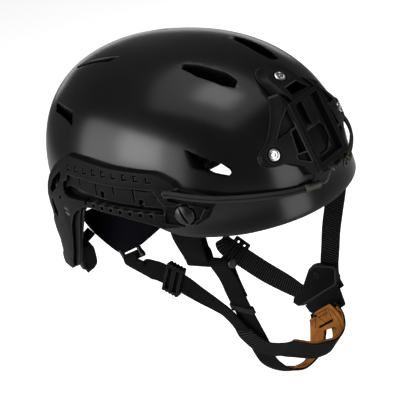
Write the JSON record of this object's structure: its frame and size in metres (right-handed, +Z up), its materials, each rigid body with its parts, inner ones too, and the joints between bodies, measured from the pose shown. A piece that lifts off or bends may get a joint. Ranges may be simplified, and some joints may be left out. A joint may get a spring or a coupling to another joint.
{
  "type": "bump helmet with rails and chin strap",
  "caption": "Vented helmet shell with foam liner, side rails, front accessory shroud, dial-fit nape carrier and four-point webbing chin strap with leather-lined cup.",
  "frame": {"origin": "middle of the head opening, level with the front brim, where the wearer's head takes the helmet", "axes": "+Z up out of the crown, -Y forward, +X to the wearer's left"},
  "size_m": [0.2256, 0.3021, 0.3274],
  "materials": {
    "shell": "satin black moulded shell",
    "foam": "black expanded foam, matt",
    "pad_cloth": "black loop cloth over foam",
    "rail_plastic": "matt black glass-filled nylon",
    "black_metal": "black coated steel",
    "bright_metal": "bright steel",
    "elastic_cord": "black braided elastic",
    "olive_metal": "dull olive grey",
    "wing_sheet": "smooth blue-black sheet",
    "fitting_plastic": "matt black acetal",
    "webbing": "dark grey-black ribbed webbing",
    "tan_leather": "tan suede leather, stitched"
  },
  "bodies": {
    "helmet": {"shell": "shell", "impact_liner": "foam", "crown_pad": "pad_cloth", "front_pad": "pad_cloth", "rear_pad": "pad_cloth", "side_pad_right": "pad_cloth", "side_pad_left": "pad_cloth", "rail_right": "rail_plastic", "rail_left": "rail_plastic", "rail_screws": "black_metal", "rail_nuts": "bright_metal", "shroud": "rail_plastic", "shroud_screws": "bright_metal", "shroud_nuts": "bright_metal", "shock_cord_right": "elastic_cord", "shock_cord_left": "elastic_cord", "cord_ferrule_right": "olive_metal", "cord_ferrule_left": "olive_metal", "cord_hook_right": "olive_metal", "cord_hook_left": "olive_metal", "strap_hanger_right": "webbing", "strap_hanger_left": "webbing", "strap_bar_right": "black_metal", "strap_bar_left": "black_metal", "retention_wing_right": "wing_sheet", "retention_wing_left": "wing_sheet", "wing_loop_right": "black_metal", "wing_loop_left": "black_metal", "link_strap_right": "webbing", "link_strap_left": "webbing"},
    "right_chin": {"front_strap_right": "webbing", "rear_strap_right": "webbing", "chin_cup_upper": "webbing", "chin_cup_lower": "webbing", "chin_cup_lining": "tan_leather", "buckle_half": "fitting_plastic"},
    "left_chin": {"front_strap_left": "webbing", "rear_strap_left": "webbing", "buckle_plate": "fitting_plastic", "buckle_stud": "fitting_plastic"},
    "nape": {"nape_carrier": "fitting_plastic", "nape_pad": "pad_cloth", "leg_pad_right": "pad_cloth", "leg_pad_left": "pad_cloth", "dial_housing": "fitting_plastic", "dial_pin": "bright_metal"},
    "dial": {"dial_knob": "fitting_plastic"},
    "near_adjuster": {"adjuster_right": "fitting_plastic"},
    "far_adjuster": {"adjuster_left": "fitting_plastic"},
    "keeper": {"strap_keeper": "webbing"}
  },
  "joints": [
    {"name": "right_strap_swing", "type": "hinge", "parent": "helmet", "child": "right_chin", "pos_m": [-0.083, 0.016, -0.03], "axis": [0, 0.9964, -0.0847], "range_deg": [0, 35]},
    {"name": "left_strap_swing", "type": "hinge", "parent": "helmet", "child": "left_chin", "pos_m": [0.083, 0.016, -0.03], "axis": [0, -0.9964, 0.0847], "range_deg": [0, 35]},
    {"name": "nape_slide", "type": "slide", "parent": "helmet", "child": "nape", "axis": [0, -1, 0], "range_m": [0, 0.008]},
    {"name": "dial_turn", "type": "hinge", "parent": "nape", "child": "dial", "pos_m": [0, 0.1295, -0.046], "axis": [0, 1, 0], "range_deg": [0, 185]},
    {"name": "near_adjuster_slide", "type": "slide", "parent": "right_chin", "child": "near_adjuster", "axis": [0.0935, -0.8922, -0.4419], "range_m": [-0.003, 0.003]},
    {"name": "far_adjuster_slide", "type": "slide", "parent": "left_chin", "child": "far_adjuster", "axis": [-0.0517, -0.875, -0.4813], "range_m": [0, 0.004]},
    {"name": "keeper_slide", "type": "slide", "parent": "right_chin", "child": "keeper", "axis": [0.3015, 0.1146, -0.9466], "range_m": [-0.004, 0.004]}
  ],
  "couplings": [
    {"joint": "dial_turn", "follows": "nape_slide", "rad_per_m": 392.7}
  ]
}
